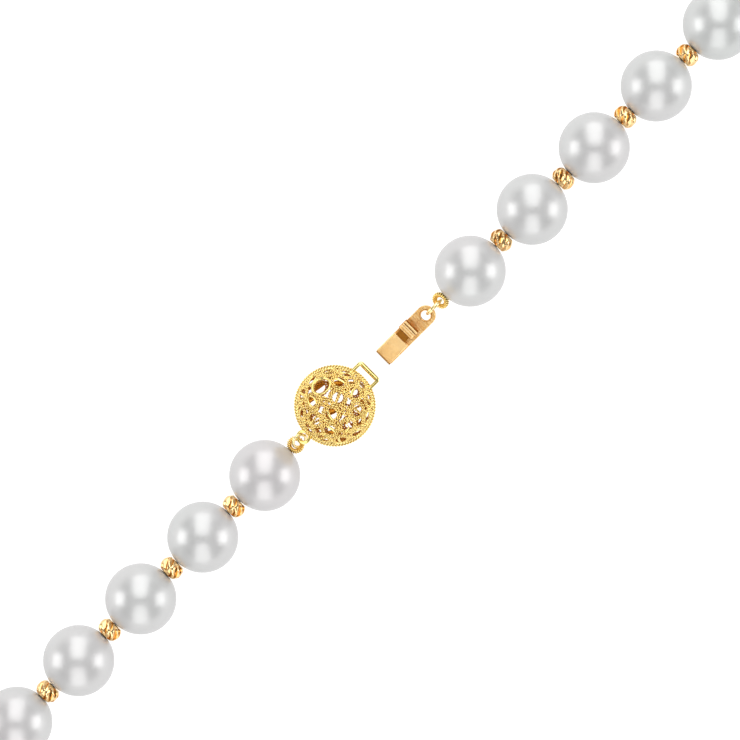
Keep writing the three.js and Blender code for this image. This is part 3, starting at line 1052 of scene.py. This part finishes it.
def thumb_tab():
    """The curled end of the leaf: a low brushed roll, a slit, and a narrow raised lip."""
    half, columns = 1.04, 60
    round_width, side_draw, side_painted_shade = 0.26, 0.12, 0.7
    floor_z, middle_x = 0.12, 5
    profile, painted_shade_at = tab_profile()
    points, painted_shades = [], []
    for j in range(columns + 1):
        y = half * (2 * j / columns - 1)
        inwards = min(1.0, (half - abs(y)) / round_width)
        full = math.sqrt(max(0.0, 1 - (1 - inwards) ** 2))
        draw = side_draw * (1 - full)
        for (x, z), painted_shade in zip(profile, painted_shade_at):
            lift = z * (0.5 + 0.5 * full) if z > floor_z else z
            points.append((x + (draw if x < middle_x else -draw), y, lift))
            # shade painted on the sides, where they round over
            painted_shades.append(max(painted_shade, side_painted_shade * (1 - full)))
    faces = tube_faces(columns + 1, len(profile), False)
    return Surface().add(points, turned_over(faces), painted_shades)


def fold_surface():
    """The bend at the tip that carries the base's sheet over into the leaf."""
    low_mid, high_mid = BASE_THICK / 2, LEAF_UNDERSIDE + LEAF_THICK / 2
    radius = (high_mid - low_mid) / 2
    thick = (BASE_THICK + LEAF_THICK) / 2
    inner, outer = max(0.03, radius - thick / 2), radius + thick / 2
    middle_x, middle_z = 0.34, (low_mid + high_mid) / 2
    flatness = 0.84
    bottom, top = -math.pi / 2, -1.5 * math.pi
    profile = [
        (middle_x + outer * flatness * math.cos(a), middle_z + outer * math.sin(a))
        for a in np.linspace(bottom, top, 24)
    ]
    profile += [
        (middle_x + inner * math.cos(a), middle_z + inner * math.sin(a))
        for a in np.linspace(top, bottom, 10)
    ]

    # its sides are rounded over by a short step in, and shade is painted on it, darkest at its tip
    end, side_step, side_inset, narrower = BASE_HALF_WIDTH - 0.03, 0.05, 0.03, 0.97
    painted_shade_from, painted_shade_fade, most_painted_shade = 0.36, 0.06, 0.9
    rows = (-end, -end + side_step, end - side_step, end)
    points, painted_shades = [], []
    for y in rows:
        inset = side_inset if abs(y) == end else 0.0
        for x, z in profile:
            points.append((x + inset, y * narrower, z))
            painted_shades.append(min(most_painted_shade, max(0.0, (painted_shade_from - x) / painted_shade_fade)))
    faces = tube_faces(len(rows), len(profile), False)
    return Surface().add(points, turned_over(faces), painted_shades)


def make_tongue():
    place = tongue_place()
    edge = math.radians(32)
    make_piece(
        "brushed_base", base_sheet().moved(place), BASE_GOLD, "tongue",
        sharp=edge, stands_for=("tongue_base",),
    )
    opened = Matrix.Translation((LEAF_HINGE, 0, LEAF_UNDERSIDE + LEAF_THICK / 2))
    opened = opened @ Matrix.Rotation(-LEAF_OPEN, 4, "Y")
    opened = opened @ Matrix.Translation((-LEAF_HINGE, LEAF_SIDE_STEP, -LEAF_THICK / 2))
    strip = Surface()
    strip.join(fold_surface())
    strip.join(leaf_sheet(), opened)
    strip.join(thumb_tab(), opened @ Matrix.Translation((0, TAB_SIDE_STEP, 0)))
    piece = make_piece(
        "folded_leaf", strip.moved(place), SATIN_GOLD, None,
        sharp=edge, stands_for=("tongue_leaf",),
    )
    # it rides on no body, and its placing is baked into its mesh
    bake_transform(piece)


# ---------------------------------------------------------------- stage


UP = Vector((0, 0, 1))
IMAGE_RIGHT = Vector((1, -1, 0)).normalized()
IMAGE_UP = Vector((1, 1, 0)).normalized()


def add_box_light(name, target, away, elevation, size, radiance):
    """A soft box above the table, in a direction away from its target, as bright as it says."""
    distance = 1.2
    tilt = math.radians(elevation)
    side = UP.cross(away).normalized()
    normal = (UP * math.sin(tilt) + away * math.cos(tilt)).normalized()
    turn = Matrix((side, normal.cross(side), normal)).transposed().to_4x4()
    light = bpy.data.lights.new(name, "AREA")
    light.shape = "RECTANGLE"
    light.size, light.size_y = size
    light.energy = radiance * math.pi * size[0] * size[1]
    lamp = bpy.data.objects.new(name, light)
    bpy.context.scene.collection.objects.link(lamp)
    lamp.matrix_world = Matrix.Translation(target + normal * distance) @ turn


def studio_world():
    """A dim studio above, and a backdrop as white as the table near the horizon."""
    backdrop_top, studio_bottom = math.radians(8), math.radians(13)
    backdrop_strength, studio_strength = 1.0, 0.29
    world = bpy.data.worlds.new("studio")
    world.use_nodes = True
    tree = world.node_tree
    background = tree.nodes["Background"]
    background.inputs["Color"].default_value = (1, 1, 1, 1)
    coordinates = tree.nodes.new("ShaderNodeTexCoord")
    split = tree.nodes.new("ShaderNodeSeparateXYZ")
    fade = tree.nodes.new("ShaderNodeMapRange")
    fade.inputs["From Min"].default_value = math.sin(backdrop_top)
    fade.inputs["From Max"].default_value = math.sin(studio_bottom)
    fade.inputs["To Min"].default_value = backdrop_strength
    fade.inputs["To Max"].default_value = studio_strength
    tree.links.new(coordinates.outputs["Generated"], split.inputs[0])
    tree.links.new(split.outputs["Z"], fade.inputs["Value"])
    tree.links.new(fade.outputs["Result"], background.inputs["Strength"])
    return world


def add_camera(target):
    """A long lens straight above the clasp, turned so that the strand runs across the corners."""
    view_mm = 84.6
    roll = math.radians(0.15)
    aim = target + IMAGE_UP * 0.09 * MM
    data = bpy.data.cameras.new("camera")
    data.lens = 200
    data.sensor_width = 36
    data.clip_end = 10
    distance = view_mm * MM * data.lens / data.sensor_width
    turn = Matrix((IMAGE_RIGHT, IMAGE_UP, UP)).transposed().to_4x4()
    turn = Matrix.Rotation(roll, 4, "Z") @ turn
    camera = bpy.data.objects.new("camera", data)
    bpy.context.scene.collection.objects.link(camera)
    camera.matrix_world = Matrix.Translation(aim + UP * distance) @ turn
    bpy.context.scene.camera = camera


def make_stage():
    scene = bpy.context.scene
    scene.view_settings.view_transform = "Standard"
    scene.world = studio_world()

    table_m = 3.0
    bpy.ops.mesh.primitive_plane_add(size=table_m, location=(0, 0, 0))
    floor = bpy.context.object
    floor.name = "table_top"
    floor.data.materials.append(floor_material())

    view_x = 0.405
    target = Vector((view_x, middle_of("pearl_right_1").y, PEARL_R)) * MM
    add_box_light("top_box", target, IMAGE_UP, 43, (1.05, 1.95), 2.3)
    add_box_light("bottom_box", target, -IMAGE_UP, 39, (0.92, 1.55), 2.0)
    add_box_light("left_box", target, -IMAGE_RIGHT, 20, (0.75, 0.7), 3.0)
    add_box_light("right_box", target, IMAGE_RIGHT, 20, (0.75, 0.7), 3.0)
    add_camera(target)


make_stage()
make_strand()
make_links()
make_ball()
make_tongue()

bpy.context.view_layer.update()
